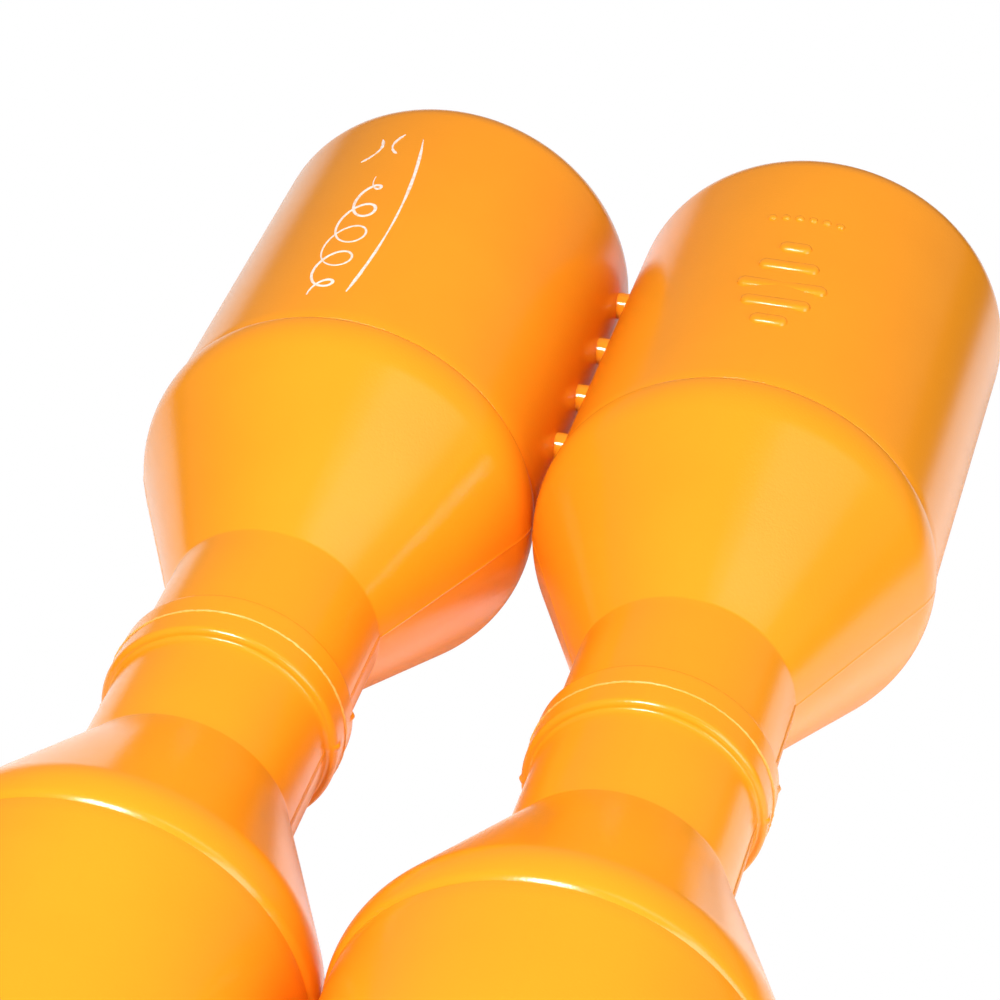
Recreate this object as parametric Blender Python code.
"""Twin hourglass hand shaker.

Two hourglass tubes of moulded plastic lie side by side. Each tube is made of two
funnels, which meet at a seam in the middle of a raised collar, and of two cups,
which plug into the wide ends of the funnels and close the chambers. Short round
pins tie the cups of the left tube to those of the right tube, and loose shot
rattles in every chamber.

Frame: +Y along the tubes, +X from the left tube to the right one, +Z up. The
origin is halfway along the tubes, midway between them, on the surface that they
lie on. Lengths are in metres.
"""
import math

import bmesh
import bpy
from mathutils import Matrix, Vector

MM = 0.001

# Driving sizes of a tube. Lengths along it are measured from the collar's seam.
HALF_LENGTH = 112.6 * MM
SHOULDER_RADIUS = 27.0 * MM
SHOULDER_ROUNDING = 10.5 * MM
SHOULDER_RETURN = math.radians(14)
CREASE_AT = 51.3 * MM
CUP_STEP = 0.25 * MM
CUP_END_ROUNDING = 6.4 * MM
CONE_START_AT = 19.5 * MM
NECK_RADIUS = 14.2 * MM
COLLAR_HEIGHT = 1.25 * MM
COLLAR_HALF_WIDTH = 3.9 * MM
COLLAR_EDGE_ROUNDING = 0.8 * MM
COLLAR_FOOT = 0.7 * MM
WALL = 2.4 * MM

# A cup plugs into its funnel, and a rear funnel's spigot into its front funnel
CUP_LAP = 5.0 * MM
SOCKET_LIP = 1.1 * MM
SPIGOT_WALL = 1.3 * MM
COLLAR_SOCKET_DEPTH = 3.4 * MM

# Gap between pieces that are in contact or bonded on the real object
FIT_GAP = 0.3 * MM

# Link pins between the two tubes, and the blind bosses that hold their ends
PIN_RADIUS = 1.9 * MM
PINS_PER_END = 4
FIRST_PIN_FROM_CREASE = 13.4 * MM
LAST_PIN_FROM_END = 11.2 * MM
PIN_ABOVE_AXIS = 2.0 * MM
PIN_SEAT_DEPTH = 3.4 * MM
BOSS_WALL = 1.5 * MM

# Loose shot in each chamber, resting in rows on the chamber's floor
SHOT_RADIUS = 2.5 * MM
SHOT_ROWS = 2
SHOT_PER_ROW = 5
SHOT_SPACING = 5.5 * MM

# Facets
TURN_STEPS = 32
ROUNDING_STEPS = 4
SHOULDER_STEPS = 3
RETURN_STEPS = 2
PIN_STEPS = 12
BOSS_STEPS = 12

# Sizes that follow from the ones above
TUBE_OFFSET = SHOULDER_RADIUS + FIT_GAP / 2
AXIS_HEIGHT = SHOULDER_RADIUS
SHOULDER_TOP_AT = CREASE_AT - SHOULDER_ROUNDING * math.sin(SHOULDER_RETURN)
CREASE_RADIUS = SHOULDER_RADIUS - SHOULDER_ROUNDING * (1 - math.cos(SHOULDER_RETURN))
CUP_RADIUS = CREASE_RADIUS - CUP_STEP
CUP_BORE = CUP_RADIUS - WALL
CUP_SOCKET_RADIUS = CUP_RADIUS - SOCKET_LIP
CUP_SPIGOT_RADIUS = CUP_SOCKET_RADIUS - FIT_GAP
CUP_SOCKET_AT = CREASE_AT - CUP_LAP
COLLAR_RADIUS = NECK_RADIUS + COLLAR_HEIGHT
NECK_BORE = NECK_RADIUS - WALL
COLLAR_SPIGOT_RADIUS = NECK_BORE + SPIGOT_WALL
COLLAR_SOCKET_RADIUS = COLLAR_SPIGOT_RADIUS + FIT_GAP
HALF_GAP = FIT_GAP / 2

ABS_ORANGE = (1.0, 0.36, 0.017, 1.0)
STEEL_GREY = (0.56, 0.57, 0.58, 1.0)


def arc(centre, radius, start_angle, end_angle, steps=ROUNDING_STEPS):
    """Points of an arc in the (along, radius) plane, both ends included."""
    points = []
    for step in range(steps + 1):
        angle = start_angle + (end_angle - start_angle) * step / steps
        points.append((centre[0] + radius * math.cos(angle), centre[1] + radius * math.sin(angle)))
    return points


def cone_angle():
    """Half-angle of the cone that leaves the neck and runs tangent into the shoulder."""
    along = SHOULDER_TOP_AT - CONE_START_AT
    across = SHOULDER_RADIUS - SHOULDER_ROUNDING - NECK_RADIUS
    reach = math.hypot(along, across)
    return math.atan2(across, along) + math.asin(SHOULDER_ROUNDING / reach)


def inner_cone_radius(along):
    """Radius of the inner face of the cone, one wall inside the outer face."""
    slope = math.tan(cone_angle())
    return NECK_RADIUS + slope * (along - CONE_START_AT) - WALL / math.cos(cone_angle())


def inner_cone_start():
    """Where the inner face of the cone meets the bore of the neck."""
    rise = NECK_BORE - inner_cone_radius(CONE_START_AT)
    return CONE_START_AT + rise / math.tan(cone_angle())


def funnel_outside():
    """Outline of a funnel's outer face, from the collar's seam to the crease."""
    edge_centre = (COLLAR_HALF_WIDTH - COLLAR_EDGE_ROUNDING, COLLAR_RADIUS - COLLAR_EDGE_ROUNDING)
    shoulder_centre = (SHOULDER_TOP_AT, SHOULDER_RADIUS - SHOULDER_ROUNDING)
    upright = math.pi / 2
    cone_end = upright + cone_angle()
    crease = upright - SHOULDER_RETURN
    points = [(HALF_GAP, COLLAR_RADIUS)]
    points += arc(edge_centre, COLLAR_EDGE_ROUNDING, upright, 0)
    points.append((COLLAR_HALF_WIDTH + COLLAR_FOOT, NECK_RADIUS))
    points.append((CONE_START_AT, NECK_RADIUS))
    points += arc(shoulder_centre, SHOULDER_ROUNDING, cone_end, upright, SHOULDER_STEPS)
    points += arc(shoulder_centre, SHOULDER_ROUNDING, upright, crease, RETURN_STEPS)[1:-1]
    points.append((CREASE_AT - HALF_GAP, CREASE_RADIUS))
    return points


def funnel_inside():
    """Outline of a funnel's inner face, from the cup's socket to the neck's bore."""
    return [
        (CREASE_AT - HALF_GAP, CUP_SOCKET_RADIUS),
        (CUP_SOCKET_AT, CUP_SOCKET_RADIUS),
        (CUP_SOCKET_AT, inner_cone_radius(CUP_SOCKET_AT)),
        (inner_cone_start(), NECK_BORE),
    ]


def collar_socket():
    """Outline of the socket inside a front funnel's collar."""
    return [
        (COLLAR_SOCKET_DEPTH, NECK_BORE),
        (COLLAR_SOCKET_DEPTH, COLLAR_SOCKET_RADIUS),
        (HALF_GAP, COLLAR_SOCKET_RADIUS),
    ]


def collar_spigot():
    """Outline of the spigot that stands out of a rear funnel's collar."""
    tip = FIT_GAP - COLLAR_SOCKET_DEPTH
    return [
        (tip, NECK_BORE),
        (tip, COLLAR_SPIGOT_RADIUS),
        (HALF_GAP, COLLAR_SPIGOT_RADIUS),
    ]


def cup_outline():
    """Closed-end cup: from the axis outside, round the rim, to the axis inside."""
    corner = (HALF_LENGTH - CUP_END_ROUNDING, CUP_RADIUS - CUP_END_ROUNDING)
    spigot_tip = CUP_SOCKET_AT + FIT_GAP
    points = [(HALF_LENGTH, 0.0)]
    points += arc(corner, CUP_END_ROUNDING, 0, math.pi / 2)
    points.append((CREASE_AT + HALF_GAP, CUP_RADIUS))
    points.append((CREASE_AT + HALF_GAP, CUP_SPIGOT_RADIUS))
    points.append((spigot_tip, CUP_SPIGOT_RADIUS))
    points.append((spigot_tip, CUP_BORE))
    points += arc(corner, CUP_END_ROUNDING - WALL, math.pi / 2, 0)
    points.append((HALF_LENGTH - WALL, 0.0))
    return points


def new_object(name, mesh, material):
    """Link a mesh into the scene as one named, smooth-shaded object."""
    mesh.materials.append(material)
    mesh.shade_smooth()
    mesh.set_sharp_from_angle(angle=math.radians(35))
    part = bpy.data.objects.new(name, mesh)
    bpy.context.collection.objects.link(part)
    return part


def mesh_from(builder, name):
    """Turn a bmesh into a mesh with its faces pointing out."""
    bmesh.ops.recalc_face_normals(builder, faces=builder.faces[:])
    mesh = bpy.data.meshes.new(name)
    builder.to_mesh(mesh)
    builder.free()
    return mesh


def turned(name, outline, closed, material):
    """Turn an (along, radius) outline about the Y axis into one closed solid."""
    builder = bmesh.new()
    ring = [builder.verts.new((0, along, radius)) for along, radius in outline]
    edges = [builder.edges.new(pair) for pair in zip(ring, ring[1:])]
    if closed:
        edges.append(builder.edges.new((ring[-1], ring[0])))
    bmesh.ops.spin(
        builder,
        geom=ring + edges,
        cent=(0, 0, 0),
        axis=(0, 1, 0),
        angle=2 * math.pi,
        steps=TURN_STEPS,
        use_merge=True,
    )
    bmesh.ops.remove_doubles(builder, verts=builder.verts[:], dist=0.001 * MM)
    return new_object(name, mesh_from(builder, name), material)


def place(part, side, end):
    """Put a turned piece on its tube; a front piece faces the other way."""
    facing = Matrix.Rotation(0 if end > 0 else math.pi, 4, "Z")
    part.matrix_world = Matrix.Translation((side * TUBE_OFFSET, 0, AXIS_HEIGHT)) @ facing


def rods(name, end, radius, near, far, steps):
    """Round rods along X, one at each pin's place, from near to far of the middle."""
    builder = bmesh.new()
    for along in pin_places(end):
        centre = Vector(((near + far) / 2, along, AXIS_HEIGHT + PIN_ABOVE_AXIS))
        bmesh.ops.create_cone(
            builder,
            cap_ends=True,
            segments=steps,
            radius1=radius,
            radius2=radius,
            depth=abs(far - near),
            matrix=Matrix.Translation(centre) @ Matrix.Rotation(math.pi / 2, 4, "Y"),
        )
    tool = bpy.data.objects.new(name, mesh_from(builder, name))
    bpy.context.collection.objects.link(tool)
    tool.hide_render = True
    tool.display_type = "WIRE"
    return tool


def pin_places(end):
    """Distances along the tubes of the pins at one end, evenly spread."""
    first = CREASE_AT + FIRST_PIN_FROM_CREASE
    last = HALF_LENGTH - LAST_PIN_FROM_END
    pitch = (last - first) / (PINS_PER_END - 1)
    return [end * (first + pitch * count) for count in range(PINS_PER_END)]


def pin_seat_from_middle():
    """Distance from the middle to a cup's outer face, at the height of the pins."""
    return TUBE_OFFSET - math.sqrt(CUP_RADIUS ** 2 - PIN_ABOVE_AXIS ** 2)


def add_pin_seats(cup, side, end):
    """Grow blind bosses inside a cup's wall and bore the seats of the pins in them."""
    face = pin_seat_from_middle()
    seat_floor = face + PIN_SEAT_DEPTH
    boss_start = side * (face + WALL / 2)
    boss_end = side * (seat_floor + BOSS_WALL)
    seat_radius = PIN_RADIUS + FIT_GAP
    bosses = rods(cup.name + "_bosses", end, seat_radius + BOSS_WALL, boss_start, boss_end, BOSS_STEPS)
    seats = rods(cup.name + "_seats", end, seat_radius, 0, side * seat_floor, PIN_STEPS)
    for tool, operation in ((bosses, "UNION"), (seats, "DIFFERENCE")):
        cut = cup.modifiers.new(tool.name, "BOOLEAN")
        cut.object = tool
        cut.operation = operation
        cut.solver = "EXACT"
        cut.use_self = True


def make_pin(name, along, material):
    """One link pin, which reaches into both cups."""
    half_length = pin_seat_from_middle() + PIN_SEAT_DEPTH - FIT_GAP
    builder = bmesh.new()
    bmesh.ops.create_cone(
        builder,
        cap_ends=True,
        segments=PIN_STEPS,
        radius1=PIN_RADIUS,
        radius2=PIN_RADIUS,
        depth=2 * half_length,
        matrix=Matrix.Rotation(math.pi / 2, 4, "Y"),
    )
    pin = new_object(name, mesh_from(builder, name), material)
    pin.location = (0, along, AXIS_HEIGHT + PIN_ABOVE_AXIS)


def make_shot(name, side, end, material):
    """Loose shot on the floor of one chamber, on an empty at the group's middle."""
    straight_end = HALF_LENGTH - CUP_END_ROUNDING
    group = bpy.data.objects.new(name, None)
    bpy.context.collection.objects.link(group)
    group.location = (side * TUBE_OFFSET, end * (CREASE_AT + straight_end) / 2, AXIS_HEIGHT)
    path = CUP_BORE - SHOT_RADIUS - FIT_GAP
    row_angle = 2 * math.asin(SHOT_SPACING / 2 / path)
    builder = bmesh.new()
    bmesh.ops.create_icosphere(builder, subdivisions=2, radius=SHOT_RADIUS)
    mesh = mesh_from(builder, name)
    mesh.materials.append(material)
    mesh.shade_smooth()
    for row in range(SHOT_ROWS):
        tilt = row_angle * (row - (SHOT_ROWS - 1) / 2)
        for place_in_row in range(SHOT_PER_ROW):
            shot = bpy.data.objects.new(f"{name}_{row * SHOT_PER_ROW + place_in_row + 1:02d}", mesh)
            bpy.context.collection.objects.link(shot)
            shot.parent = group
            along = SHOT_SPACING * (place_in_row - (SHOT_PER_ROW - 1) / 2)
            shot.location = (path * math.sin(tilt), along, -path * math.cos(tilt))


def principled(name, colour, roughness, metallic):
    """A material with one Principled shader."""
    material = bpy.data.materials.new(name)
    material.use_nodes = True
    shader = material.node_tree.nodes["Principled BSDF"]
    shader.inputs["Base Color"].default_value = colour
    shader.inputs["Roughness"].default_value = roughness
    shader.inputs["Metallic"].default_value = metallic
    return material


def main():
    for old in list(bpy.data.objects):
        bpy.data.objects.remove(old, do_unlink=True)
    for side, tube in ((-1, "left"), (1, "right")):
        for end, half in ((1, "rear"), (-1, "front")):
            where = f"{tube}_{half}"
            plastic = principled(where + "_plastic", ABS_ORANGE, 0.25, 0.0)
            joint = collar_spigot() if end > 0 else collar_socket()
            funnel_line = funnel_outside() + funnel_inside() + joint
            funnel = turned(where + "_funnel", funnel_line, True, plastic)
            cup = turned(where + "_cup", cup_outline(), False, plastic)
            place(funnel, side, end)
            place(cup, side, end)
            add_pin_seats(cup, side, end)
            make_shot(where + "_shot", side, end, principled(where + "_steel", STEEL_GREY, 0.3, 1.0))
    for end, half in ((1, "rear"), (-1, "front")):
        for count, along in enumerate(pin_places(end), start=1):
            name = f"{half}_link_pin_{count}"
            make_pin(name, along, principled(name + "_plastic", ABS_ORANGE, 0.25, 0.0))


main()
